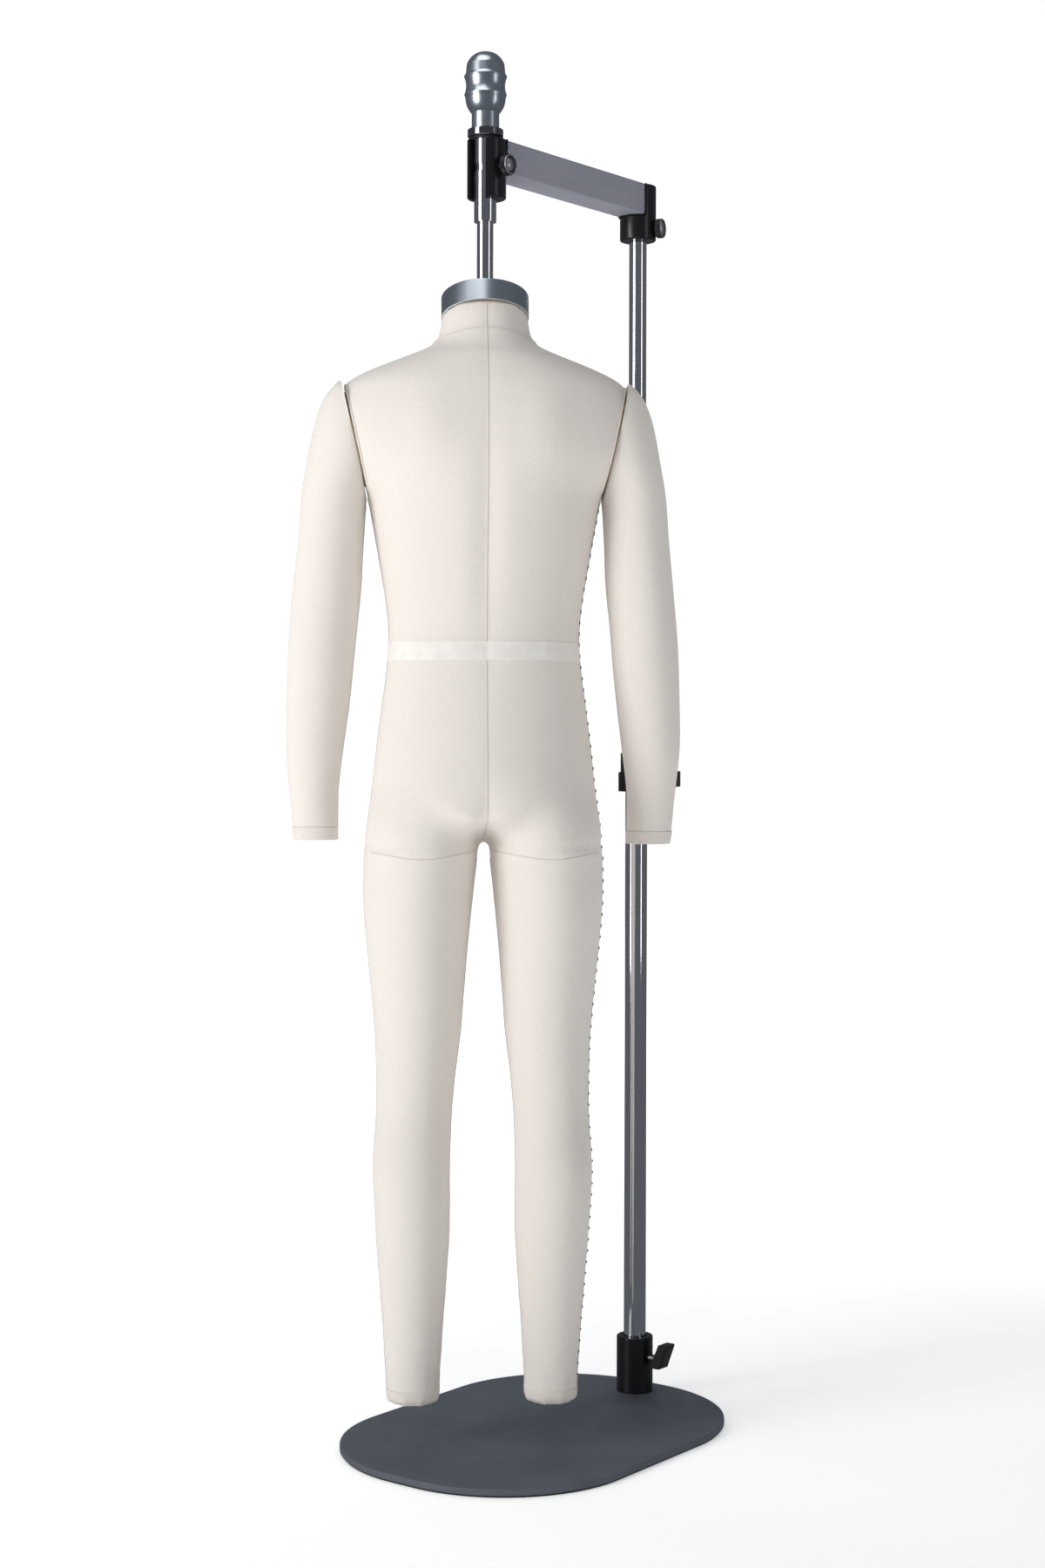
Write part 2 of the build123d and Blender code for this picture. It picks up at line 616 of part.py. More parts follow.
for name, side in SIDES.items():
    with BuildPart() as arm_plate:
        armhole_plate(side, GAP)
        rod(armhole(side), pin_hole, PIN_REACH, Mode.SUBTRACT)
    save(arm_plate, f"{name}_arm_plate")

    with BuildPart() as arm_cover:
        limb_loft(ARM, side)
        split(bisect_by=armhole(side, GAP), keep=Keep.TOP)
        limb_loft(ARM, side, ARM_PADDING, Mode.SUBTRACT)
        armhole_plate(side, GAP, Mode.SUBTRACT)
    save(arm_cover, f"{name}_arm_cover")

    with BuildPart() as arm_core:
        limb_loft(ARM, side, ARM_PADDING + SHELL_GAP)
        split(bisect_by=armhole(side, GAP + PLATE), keep=Keep.TOP)
        split(bisect_by=Plane.XY.offset(ARM_SOLE + PLATE), keep=Keep.TOP)
        rod(armhole(side), pin_hole, PIN_REACH + 1, Mode.SUBTRACT)
    save(arm_core, f"{name}_arm_core")

    with BuildPart() as wrist_disc:
        limb_loft(ARM, side, ARM_PADDING + SHELL_GAP)
        keep_between(ARM_SOLE, ARM_SOLE + PLATE)
    save(wrist_disc, f"{name}_wrist_disc")

    with BuildPart() as wrist_hem:
        limb_loft(ARM, side, -HEM_THICK)
        limb_loft(ARM, side, 0, Mode.SUBTRACT)
        keep_between(ARM_SOLE, ARM_SOLE + HEM_HEIGHT)
    save(wrist_hem, f"{name}_wrist_hem")
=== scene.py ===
import json
import math
import random

import bmesh
import bpy
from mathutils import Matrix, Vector, noise
from mathutils.bvhtree import BVHTree

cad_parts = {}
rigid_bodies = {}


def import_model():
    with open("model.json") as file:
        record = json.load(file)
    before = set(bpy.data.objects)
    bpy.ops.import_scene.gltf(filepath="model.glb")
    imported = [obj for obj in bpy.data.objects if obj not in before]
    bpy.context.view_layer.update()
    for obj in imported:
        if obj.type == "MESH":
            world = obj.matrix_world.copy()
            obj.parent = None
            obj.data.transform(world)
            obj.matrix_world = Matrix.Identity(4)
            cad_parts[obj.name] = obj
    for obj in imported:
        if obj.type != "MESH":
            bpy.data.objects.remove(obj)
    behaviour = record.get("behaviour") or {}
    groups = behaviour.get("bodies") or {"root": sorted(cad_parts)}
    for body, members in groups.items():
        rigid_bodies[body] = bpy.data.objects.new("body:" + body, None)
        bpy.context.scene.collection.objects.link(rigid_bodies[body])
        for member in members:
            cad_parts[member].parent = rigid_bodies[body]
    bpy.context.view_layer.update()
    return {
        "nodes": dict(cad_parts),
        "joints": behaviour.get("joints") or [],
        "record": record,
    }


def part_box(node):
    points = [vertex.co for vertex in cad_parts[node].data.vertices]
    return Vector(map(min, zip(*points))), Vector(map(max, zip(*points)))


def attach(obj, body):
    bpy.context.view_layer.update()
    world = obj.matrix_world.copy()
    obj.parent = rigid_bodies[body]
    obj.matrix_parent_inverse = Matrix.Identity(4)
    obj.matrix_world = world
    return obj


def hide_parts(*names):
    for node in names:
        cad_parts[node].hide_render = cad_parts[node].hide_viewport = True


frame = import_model()
nodes = frame["nodes"]
random.seed(7)

MM = 0.001

# Body: the driving sizes of the padded form, in millimetres.
NECK_TILT = math.radians(17)
CAP_TOP = 1550
CAP_HEIGHT = 30
CROTCH = 815  # legs are as deep here as the torso's lower end has to be
TORSO_END = 822  # from here up to FORK or HIP the torso's depth blends into the legs'
FORK = 858  # top of that blend at the middle
HIP = 905  # top of that blend at the sides
ARMHOLE_TILT = math.radians(12.6)
ARMHOLE_X = 172.5
ARMHOLE_Z = 1358
ARMPIT = 1284
ARM_GAP = 2.4  # from the armhole plane to the arm's flat top
VOXEL = 5  # mesh size of the melted body skin
BUTTOCK_X = 85  # from the middle to the middle of the crease under each buttock

# Seams, bands and piping, in millimetres.
SEAM_LIFT = 0.3
SEAM_RADIUS = 0.55
ARM_SEAM_RADIUS = 0.6
NECK_SEAM_RADIUS = 0.8
STITCH_RADIUS = 0.8
PIPING_RADIUS = 1.5
TAPE_CENTRE = 1075
TAPE_HALF_WIDTH = 12.5
TAPE_THICKNESS = 0.8
HEM_THICKNESS = 1.2
BAND_EDGE_LIFT = 0.1
ANKLE_AXIS = (92, 1.5)
ANKLE_HEM = (77, 94)  # its lower and upper edge
WRIST_AXIS = (224, -26)
WRIST_HEM = (0.5, 17)  # its lower and upper edge above the arm's sole

WAVES_PER_METRE = 3.18  # of a wave texture at scale 1

# Hardware, in metres.
KNOB_THICKNESS = 0.010
KNOB_RADIUS = 0.014
KNURL_DEPTH = 0.0006
ARM_KNOB_START = 0.029  # from the joint's own point along the screw
CRADLE_KNOB_START = 0.034
ARM_HALF_WIDTH = 0.0225  # half of the square arm's side
SOCKET_RADIUS = 0.02625
CRADLE_SHIFT = 0.003  # the cradle stands this far from the form's axis
WELD_RADIUS = 0.0021
WELD_STEPS = 40  # per side of the arm

# Height, half width, depth to the front, depth to the back.
TORSO = [
    (1556, 56, 57, 55),
    (1530, 56.5, 58, 56),
    (1508, 59.5, 62, 61),
    (1492, 64, 66, 69),
    (1480, 78, 69, 75),
    (1466, 112, 76, 86),
    (1452, 148, 84, 93),
    (1438, 177, 91, 99),
    (1424, 192, 96, 104),
    (1385, 206, 108, 112),
    (1340, 200, 118, 116),
    (1308, 177, 123, 113),
    (1284, 158, 123, 110),
    (1248, 149.5, 121, 104),
    (1200, 141, 114, 96),
    (1144, 131.5, 107, 87),
    (1102, 127.5, 104, 83),
    (1060, 129, 103, 87),
    (1004, 136, 104, 97),
    (948, 143, 102, 108),
    (892, 149, 100, 117),
    (845, 155, 98, 116),
    (815, 158, 96, 112),
]

# Height, distance from the middle, half width, depth to the front and to the back.
LEG = [
    (870, 74, 58, 76, 86),
    (845, 78, 66, 85, 97),
    (822, 82, 73, 92, 105),
    (808, 83.5, 75.5, 95, 108),
    (794, 84.5, 75, 95, 104),
    (738, 87.5, 71.8, 90, 98),
    (682, 88, 67, 83, 88),
    (626, 87.5, 62, 76, 78),
    (570, 87, 57.5, 69, 70),
    (514, 89.5, 53, 62, 62),
    (458, 92, 50.5, 56, 58),
    (388, 95, 51.5, 49, 69),
    (340, 94, 50.8, 46, 67),
    (290, 93, 48.5, 45, 61),
    (178, 92.5, 40, 38, 44),
    (110, 92.5, 36, 36, 39),
    (76, 92, 35, 35, 38),
]

# Laid out like LEG.
ARM = [
    (1434, 193, 4, 12, 16),
    (1431, 190, 10, 27, 31),
    (1424, 185, 21, 40, 44),
    (1410, 176, 40, 51, 55),
    (1380, 176, 50.5, 60, 62),
    (1330, 186.5, 50, 60, 62),
    (1284, 200, 44, 53, 55),
    (1228, 205, 43.8, 48, 51),
    (1172, 209, 45, 45, 49),
    (1116, 214, 45, 42, 47),
    (1060, 218, 43.8, 40, 45),
    (1004, 222, 41.7, 42, 39),
    (948, 226, 38, 44, 31),
    (892, 227.5, 33, 48, 14),
    (836, 225, 30, 51, 1),
    (824, 224, 29, 51, -1),
]
ARM_SOLE = {"left": 823.5, "right": 818}  # lower end of each arm
SIDES = {"left": 1, "right": -1}


# ---- Shapes ---------------------------------------------------------------------------------


def between(table, z):
    """The row of a table at a height, on a smooth curve through its rows."""
    rows = sorted(table)
    z = min(max(z, rows[0][0]), rows[-1][0])
    k = max(i for i in range(len(rows) - 1) if rows[i][0] <= z)
    low, high = rows[k], rows[k + 1]
    before, after = rows[max(k - 1, 0)], rows[min(k + 2, len(rows) - 1)]
    span = high[0] - low[0]
    t = (z - low[0]) / span
    values = []
    for j in range(1, len(low)):
        m0 = (high[j] - before[j]) / (high[0] - before[0]) * span
        m1 = (after[j] - low[j]) / (after[0] - low[0]) * span
        a = (2 * t**3 - 3 * t**2 + 1) * low[j] + (t**3 - 2 * t**2 + t) * m0
        b = (-2 * t**3 + 3 * t**2) * high[j] + (t**3 - t**2) * m1
        values.append(a + b)
    return values


def bell(x, centre, width):
    """A smooth bump of height 1 at the centre."""
    return math.exp(-(((x - centre) / width) ** 2))


def armhole_x(z):
    """How far out the armhole's slanting plane is at a height."""
    return ARMHOLE_X + (z - ARMHOLE_Z) * math.tan(ARMHOLE_TILT)


def torso_point(z, angle):
    """A point of the torso's skin; angle 0 is the left side and 90 degrees the back."""
    width, front, back = between(TORSO, z)
    c, s = math.cos(angle), math.sin(angle)
    x = width * math.copysign(abs(c) ** 0.94, c)
    y = (back if s > 0 else front) * math.copysign(abs(s) ** 0.94, s)
    side = abs(x)
    if s > 0:
        # Shoulder blades, the hollow of the spine, buttocks and the cleft between them.
        y += s * 6 * bell(side, 78, 36) * bell(z, 1372, 58)
        y -= s * 6 * bell(x, 0, 16) * bell(z, 1230, 150)
        y += s * 4 * bell(side, 74, 46) * bell(z, 866, 50)
        y -= s * 6 * bell(x, 0, 16) * bell(z, 846, 44)
    else:
        # Chest and breastbone.
        y += s * 6 * bell(side, 72, 44) * bell(z, 1325, 52)
        y -= s * 3 * bell(x, 0, 18) * bell(z, 1290, 90)
    if z > ARMPIT:
        x = math.copysign(min(abs(x), armhole_x(z)), x)
    start = FORK + (HIP - FORK) * eased((side - 12) / 90)
    y += (leg_depth(x, s) - y) * eased((start - z) / (start - TORSO_END))
    return Vector((x, y, z))


def eased(t):
    """0 to 1 with a soft start and end."""
    t = min(max(t, 0), 1)
    return t * t * (3 - 2 * t)


def leg_depth(x, sense):
    """How far back, or forward where sense is negative, a leg's top reaches at x."""
    leg_x, width, front, back = between(LEG, CROTCH)
    across = min(max((abs(x) - leg_x) / width, -1), 1)
    depth = math.sqrt(1 - across**2) * (front + back) / 2
    return (back - front) / 2 + math.copysign(depth, sense)


def limb_point(table, side, z, angle):
    """A point of a leg's or an arm's oval section; side is 1 on the left and -1 on the right."""
    x, width, front, back = between(table, z)
    c, s = math.cos(angle), math.sin(angle)
    depth = (front + back) / 2
    return Vector((side * x + width * c, (back - front) / 2 + depth * s, z))


def mesh_object(name, points, faces, smooth=True):
    mesh = bpy.data.meshes.new(name)
    mesh.from_pydata([p * MM for p in points], [], faces)
    mesh.polygons.foreach_set("use_smooth", [smooth] * len(mesh.polygons))
    obj = bpy.data.objects.new(name, mesh)
    bpy.context.collection.objects.link(obj)
    return obj


def skin(name, rings, capped=True):
    """A tube of quads through closed rings of points, in millimetres, ordered from the top down."""
    count = len(rings[0])
    points = [p for ring in rings for p in ring]
    faces = []
    for r in range(len(rings) - 1):
        for i in range(count):
            j = (i + 1) % count
            faces.append((r * count + i, (r + 1) * count + i, (r + 1) * count + j, r * count + j))
    if capped:
        for ring, flip in ((0, False), (len(rings) - 1, True)):
            middle = sum((rings[ring][i] for i in range(count)), Vector()) / count
            points.append(middle)
            hub = len(points) - 1
            for i in range(count):
                a, b = ring * count + i, ring * count + (i + 1) % count
                faces.append((hub, b, a) if flip else (hub, a, b))
    return mesh_object(name, points, faces)


def heights(top, bottom, step):
    """Evenly spaced values from top down to bottom, about a step apart."""
    count = max(2, round((top - bottom) / step))
    return [top + (bottom - top) * i / count for i in range(count + 1)]


def ring_of(point, count):
    return [point(2 * math.pi * i / count) for i in range(count)]


def apply_modifiers(obj):
    graph = bpy.context.evaluated_depsgraph_get()
    mesh = bpy.data.meshes.new_from_object(obj.evaluated_get(graph))
    obj.modifiers.clear()
    obj.data = mesh
    obj.data.polygons.foreach_set("use_smooth", [True] * len(mesh.polygons))


def surface_of(obj):
    """A search tree over an object's own mesh, in metres."""
    return BVHTree.FromPolygons(
        [v.co.copy() for v in obj.data.vertices], [p.vertices[:] for p in obj.data.polygons]
    )


def tube(name, path, radius, closed=False, sides=8):
    """A round thread through points in metres."""
    count = len(path)
    points, faces = [], []
    for k, p in enumerate(path):
        ahead = path[(k + 1) % count] if closed else path[min(k + 1, count - 1)]
        behind = path[k - 1] if closed else path[max(k - 1, 0)]
        along = (ahead - behind).normalized()
        across = along.orthogonal().normalized()
        if k and across.dot(previous) < 0.999:
            across = (previous - along * previous.dot(along)).normalized()
        previous = across
        up = along.cross(across)
        for i in range(sides):
            t = 2 * math.pi * i / sides
            points.append((p + radius * (math.cos(t) * across + math.sin(t) * up)) / MM)
    last = count if closed else count - 1
    for k in range(last):
        for i in range(sides):
            a, b = k * sides + i, k * sides + (i + 1) % sides
            c, d = ((k + 1) % count) * sides + (i + 1) % sides, ((k + 1) % count) * sides + i
            faces.append((a, b, c, d))
    return mesh_object(name, points, faces)


def joined(name, parts):
    """One object of several, in a single mesh."""
    mesh = bpy.data.meshes.new(name)
    build = bmesh.new()
    for part in parts:
        build.from_mesh(part.data)
        bpy.data.objects.remove(part)
    build.to_mesh(mesh)
    build.free()
    mesh.polygons.foreach_set("use_smooth", [True] * len(mesh.polygons))
    obj = bpy.data.objects.new(name, mesh)
    bpy.context.collection.objects.link(obj)
    return obj


# ---- Materials ------------------------------------------------------------------------------


class Shader:
    """A principled material with short helpers for its node tree."""

    def __init__(self, name, color, roughness, metallic=0.0):
        self.material = bpy.data.materials.new(name)
        self.material.use_nodes = True
        self.material.diffuse_color = (*color, 1)
        self.tree = self.material.node_tree
        self.bsdf = self.tree.nodes["Principled BSDF"]
        self.bsdf.inputs["Base Color"].default_value = (*color, 1)
        self.bsdf.inputs["Roughness"].default_value = roughness
        self.bsdf.inputs["Metallic"].default_value = metallic
        self.coords = self.add("ShaderNodeTexCoord")
        self.bumps = None

    def add(self, kind, **settings):
        node = self.tree.nodes.new(kind)
        for key, value in settings.items():
            setattr(node, key, value)
        return node

    def link(self, output, socket):
        self.tree.links.new(output, socket)

    def noise(self, scale, detail=3.0, stretch=(1, 1, 1)):
        mapping = self.add("ShaderNodeMapping")
        mapping.inputs["Scale"].default_value = stretch
        texture = self.add("ShaderNodeTexNoise")
        texture.inputs["Scale"].default_value = scale
        texture.inputs["Detail"].default_value = detail
        self.link(self.coords.outputs["Object"], mapping.inputs["Vector"])
        self.link(mapping.outputs["Vector"], texture.inputs["Vector"])
        return texture.outputs["Fac"]

    def wave(self, direction, spacing, distortion=1.0):
        texture = self.add("ShaderNodeTexWave", wave_type="BANDS", bands_direction=direction)
        texture.inputs["Scale"].default_value = 1 / (spacing * WAVES_PER_METRE)
        texture.inputs["Distortion"].default_value = distortion
        texture.inputs["Detail"].default_value = 1
        self.link(self.coords.outputs["Object"], texture.inputs["Vector"])
        return texture.outputs["Fac"]

    def ramp(self, fac, low, high, start=0.3, end=0.7):
        ramp = self.add("ShaderNodeValToRGB")
        ramp.color_ramp.elements[0].position = start
        ramp.color_ramp.elements[1].position = end
        ramp.color_ramp.elements[0].color = (*low, 1)
        ramp.color_ramp.elements[1].color = (*high, 1)
        self.link(fac, ramp.inputs["Fac"])
        return ramp.outputs["Color"]

    def color(self, output):
        self.link(output, self.bsdf.inputs["Base Color"])

    def roughness(self, fac, low, high):
        spread = self.add("ShaderNodeMapRange")
        spread.inputs["To Min"].default_value = low
        spread.inputs["To Max"].default_value = high
        self.link(fac, spread.inputs["Value"])
        self.link(spread.outputs["Result"], self.bsdf.inputs["Roughness"])

    def bump(self, height, strength, distance):
        node = self.add("ShaderNodeBump")
        node.inputs["Strength"].default_value = strength
        node.inputs["Distance"].default_value = distance
        self.link(height, node.inputs["Height"])
        if self.bumps:
            self.link(self.bumps, node.inputs["Normal"])
        self.bumps = node.outputs["Normal"]
        self.link(self.bumps, self.bsdf.inputs["Normal"])


def shade(color, factor):
    return tuple(c * factor for c in color)


def cloth(name, color, slub=1.0):
    """Plain-woven cotton: two thread directions, slubs, soft mottling and a faint nap."""
    s = Shader(name, color, 0.88)
    s.color(s.ramp(s.noise(420, 3), shade(color, 0.965), shade(color, 1.02)))
    s.bump(s.noise(9, 3, (1, 1, 0.35)), 0.08, 0.004)
    s.bump(s.noise(380, 2, (1, 1, 0.12)), 0.34 * slub, 0.0007)
    s.bump(s.noise(380, 2, (0.12, 0.12, 1)), 0.34 * slub, 0.0007)
    s.bump(s.wave("Z", 0.0011), 0.12, 0.0003)
    s.bsdf.inputs["Sheen Weight"].default_value = 0.25
    s.bsdf.inputs["Sheen Roughness"].default_value = 0.5
    s.bsdf.inputs["Specular IOR Level"].default_value = 0.2
    return s.material


def twill(name, color):
    """Herringbone tape: fine diagonal ribs with soft creases across."""
    s = Shader(name, color, 0.8)
    s.color(s.ramp(s.noise(60, 4), shade(color, 0.93), shade(color, 1.03)))
    s.bump(s.wave("DIAGONAL", 0.0016), 0.3, 0.0006)
    s.bump(s.noise(45, 3, (1, 1, 0.2)), 0.35, 0.004)
    s.bsdf.inputs["Sheen Weight"].default_value = 0.2
    return s.material


def powder_coat(name, color, roughness):
    """Baked powder paint: a fine orange-peel grain and slight wear in its sheen."""
    s = Shader(name, color, roughness)
    s.color(s.ramp(s.noise(14, 4), shade(color, 0.92), shade(color, 1.06)))
    s.roughness(s.noise(38, 4), roughness * 0.85, roughness * 1.15)
    s.bump(s.noise(900, 2), 0.12, 0.0004)
    return s.material


def polished(name, color, roughness):
    """Plated or polished metal with faint smears and hairline polishing marks."""
    s = Shader(name, color, roughness, 1.0)
    s.color(s.ramp(s.noise(20, 3), shade(color, 0.96), shade(color, 1.0)))
    s.roughness(s.noise(30, 4, (1, 1, 0.2)), roughness * 0.8, roughness * 1.3)
    return s.material


def brushed(name, color, roughness):
    s = Shader(name, color, roughness, 1.0)
    s.roughness(s.noise(300, 3, (0.08, 0.08, 1)), roughness * 0.8, roughness * 1.25)
    s.bump(s.noise(900, 2, (0.05, 0.05, 1)), 0.08, 0.0003)
    return s.material


def moulded(name, color, roughness):
    """Moulded plastic or rubber with a spark-eroded grain."""
    s = Shader(name, color, roughness)
    s.color(s.ramp(s.noise(30, 3), shade(color, 0.9), shade(color, 1.1)))
    s.bump(s.noise(1200, 2), 0.2, 0.0004)
    return s.material


def plywood(name, color):
    s = Shader(name, color, 0.7)
    s.color(s.ramp(s.noise(18, 5, (1, 1, 9)), shade(color, 0.75), shade(color, 1.1)))
    s.bump(s.noise(120, 4, (1, 1, 6)), 0.15, 0.0006)
    return s.material


IVORY = (0.775, 0.725, 0.67)
looks = {
    "plate_grey": powder_coat("plate_grey", (0.1, 0.112, 0.136), 0.5),
    "arm_grey": powder_coat("arm_grey", (0.29, 0.295, 0.345), 0.38),
    "socket_black": powder_coat("socket_black", (0.009, 0.009, 0.011), 0.26),
    "mat_rubber": moulded("mat_rubber", (0.02, 0.02, 0.022), 0.8),
    "lever_black": moulded("lever_black", (0.02, 0.02, 0.023), 0.42),
    "knob_black": powder_coat("knob_black", (0.012, 0.012, 0.014), 0.35),
    "screw_steel": brushed("screw_steel", (0.72, 0.72, 0.74), 0.2),
    "pole_chrome": polished("pole_chrome", (0.84, 0.84, 0.86), 0.07),
    "bush_chrome": polished("bush_chrome", (0.78, 0.78, 0.81), 0.08),
    "flange_nickel": polished("flange_nickel", (0.3, 0.3, 0.33), 0.12),
    "finial_metal": polished("finial_metal", (0.66, 0.72, 0.79), 0.27),
    "liner_nylon": moulded("liner_nylon", (0.02, 0.02, 0.02), 0.6),
    "washer_brass": brushed("washer_brass", (0.75, 0.58, 0.3), 0.25),
    "plate_wood": plywood("plate_wood", (0.55, 0.4, 0.25)),
    "shell_plastic": moulded("shell_plastic", (0.7, 0.66, 0.58), 0.6),
    "cover_fabric": cloth("cover_fabric", IVORY),
    "tape_fabric": twill("tape_fabric", (0.84, 0.81, 0.76)),
    "hem_fabric": cloth("hem_fabric", shade(IVORY, 0.97), 1.4),
    "core_foam": moulded("core_foam", (0.75, 0.72, 0.64), 0.9),
}
# The seams' cloth is the cover's ivory darkened to 0.86: painted shade along the seam lines.
seam_cloth_painted_shade = cloth("seam_fabric_painted_shade", shade(IVORY, 0.86), 1.6)
stitch_thread = cloth("stitch_thread", (0.16, 0.14, 0.13))
weld_bead = brushed("weld_bead", (0.05, 0.05, 0.055), 0.4)
bright_rim = polished("bright_rim", (0.9, 0.9, 0.92), 0.3)


def finish_piece(obj, body, material, slot_name, *replaced):
    obj.data.materials.clear()
    obj.data.materials.append(material)
    if replaced:
        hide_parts(*replaced)
    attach(obj, body)
    return obj


for entry in frame["record"]["subparts"]:
    node = nodes[entry["node"]]
    look = looks[entry["material_slot"]]
    for part in [node, *node.children_recursive]:
        if part.type == "MESH":
            for material_slot in part.material_slots:
                material_slot.material = look


# ---- Torso and legs -------------------------------------------------------------------------


def body_skin():
    """The stuffed body in one skin: torso and legs lofted apart, then melted together."""
    levels = heights(TORSO[0][0], TORSO_END, 5)
    parts = [skin("torso_raw", [ring_of(lambda a: torso_point(z, a), 128) for z in levels])]
    for side in SIDES.values():
        levels = heights(LEG[0][0], LEG[-1][0], 6)
        rings = [ring_of(lambda a: limb_point(LEG, side, z, a), 72) for z in levels]
        parts.append(skin("leg_raw", rings))
    body = joined("body_cover", parts)
    melt = body.modifiers.new("melt", "REMESH")
    melt.mode = "VOXEL"
    melt.voxel_size = VOXEL * MM
    apply_modifiers(body)
    trim_neck(body)
    ease = body.modifiers.new("ease", "LAPLACIANSMOOTH")
    ease.iterations = 3
    ease.lambda_factor = 0.8
    ease.use_volume_preserve = True
    apply_modifiers(body)
    crease_buttocks(body)
    return body


def trim_neck(obj):
    """Cut the neck off along the tilted rim of its metal cap."""
    build = bmesh.new()
    build.from_mesh(obj.data)
    normal = Vector((0, -math.sin(NECK_TILT), math.cos(NECK_TILT)))
    rim = Vector((0, 0, CAP_TOP)) - normal * (CAP_HEIGHT - 1.5)
    everything = build.verts[:] + build.edges[:] + build.faces[:]
    cut = bmesh.ops.bisect_plane(
        build, geom=everything, plane_co=rim * MM, plane_no=normal, clear_outer=True
    )
    edges = [e for e in cut["geom_cut"] if isinstance(e, bmesh.types.BMEdge)]
    bmesh.ops.contextual_create(build, geom=edges)
    build.to_mesh(obj.data)
    build.free()


def crease_buttocks(obj):
    """Draw the skin in along the curved seam below each buttock and down the centre-back seam."""
    for v in obj.data.vertices:
        x, y, z = v.co / MM
        if y > 0:
            seam_z = buttock_seam(abs(x))
            v.co.y -= 1.4 * MM * bell(z, seam_z, 5) * bell(abs(x), BUTTOCK_X, 62)
            if z > CROTCH:
                v.co.y -= 0.8 * MM * bell(x, 0, 4)


def buttock_seam(side):
    """Height of the seam under a buttock at a distance from the middle."""
    return 812 - 9 * bell(side, BUTTOCK_X, 50)


body = body_skin()
body_nodes = ("torso_cover", "torso_shell", "left_leg_cover", "right_leg_cover")
finish_piece(body, "form", looks["cover_fabric"], "cover_fabric", *body_nodes)
body_surface = surface_of(body)


def on_skin(point, direction, surface=body_surface, lift=0.0, reach=400):
    """Where a ray towards the axis meets the skin, lifted off it; all but lift in millimetres."""
    start = (point - direction * reach) * MM
    place, normal, *_ = surface.ray_cast(start, direction)
    return place + normal * lift * MM if place else None


def seam_path(casts, surface=body_surface, reach=400):
    """Points of a seam: where rays, each a point and a direction, meet the skin."""
    places = [on_skin(point, direction, surface, SEAM_LIFT, reach) for point, direction in casts]
    return [place for place in places if place]


def back_line(x, top, bottom, facing=1):
    """Points down the back, or the front with facing -1, at a distance from the middle."""
    inward = Vector((0, -facing, 0))
    return seam_path([(Vector((x, 0, z)), inward) for z in heights(top, bottom, 5)])


def side_line(side, top, bottom, y):
    """Points down one side of the body, at a distance y behind the middle."""
    inward = Vector((-side, 0, 0))
    return seam_path([(Vector((0, y, z)), inward) for z in heights(top, bottom, 5)])


def under_line(side):
    """Points along the curved seam under one buttock."""
    inward = Vector((0, -1, 0))
    return seam_path(
        [(Vector((side * x, 0, buttock_seam(x))), inward) for x in heights(150, 12, 4)]
    )


def inner_line(side):
    """Points down the inside of one leg."""
    path = []
    for z in heights(800, 78, 6):
        centre = between(LEG, z)[0]
        start = Vector((side * centre, 3, z))
        path += seam_path([(start, Vector((side, 0, 0)))], reach=centre - 2)
    return path


def seams():
    """Centre back and front, outer sides, under the buttocks, inner legs and round the neck."""
    lines = [back_line(0, 1532, 822), back_line(0, 1498, 822, -1)]
    for side in SIDES.values():
        lines += [side_line(side, ARMPIT - 6, 78, 4), under_line(side), inner_line(side)]
    pieces = [tube("seam_raw", line, SEAM_RADIUS * MM, sides=6) for line in lines]
    pieces.append(tube("seam_raw", neck_ring(), NECK_SEAM_RADIUS * MM, closed=True, sides=6))
    finish_piece(joined("body_seams", pieces), "form", seam_cloth_painted_shade, "cover_fabric")


def neck_ring():
    """Points round the neck's foot, lower at the sides and at the front."""
    casts = []
    for out in ring_of(lambda a: Vector((math.cos(a), math.sin(a), 0)), 96):
        height = 1500 - 12 * abs(out.x) ** 2 - 10 * max(-out.y, 0)
        casts.append((Vector((0, 0, height)), -out))
    return seam_path(casts)


def stitches():
    """Whip stitches that close the right side seam, each a short slanting thread."""
    side = SIDES["right"]
    slant = Vector((0, 5, 2.4)) * MM
    out = Vector((side * 0.8, 0, 0)) * MM
    line = side_line(side, ARMPIT - 20, 100, 12)
    threads = [
        tube("stitch_raw", [p - slant, p + out, p + slant], STITCH_RADIUS * MM, sides=6)
        for p in line[::3]
    ]
    finish_piece(joined("side_stitches", threads), "form", stitch_thread, "cover_fabric")


seams()
stitches()


# ---- Waist tape, hems and piping ------------------------------------------------------------


def band(name, surface, axis, low, high, thick, waves=0.0, count=160, reach=220):
    """A woven band round a limb: its outer face and edges, standing on the skin below it."""
    rows = [(low + (high - low) * t / 4, thick) for t in range(5)]
    rows = [(low, BAND_EDGE_LIFT), *rows, (high, BAND_EDGE_LIFT)]
    rings = []
    for z, lift in rows:
        ring = []
        for i in range(count):
            a = 2 * math.pi * i / count
            out = Vector((math.cos(a), math.sin(a), 0))
            wobble = waves * noise.noise(Vector((out.x * 9, out.y * 9, z * 0.02)))
            centre = Vector((axis[0], axis[1], z))
            place = on_skin(centre, -out, surface, lift, reach)
            ring.append(place / MM + Vector((0, 0, wobble)) if place else centre)
        rings.append(ring)
    cloth_band = skin(name, list(reversed(rings)), capped=False)
    cloth_band.data.set_sharp_from_angle(angle=math.radians(40))
    return cloth_band


tape_edges = (TAPE_CENTRE - TAPE_HALF_WIDTH, TAPE_CENTRE + TAPE_HALF_WIDTH)
waist = band("waist_tape_cloth", body_surface, (0, 0), *tape_edges, TAPE_THICKNESS, 1.1)
finish_piece(waist, "form", looks["tape_fabric"], "tape_fabric", "waist_tape")

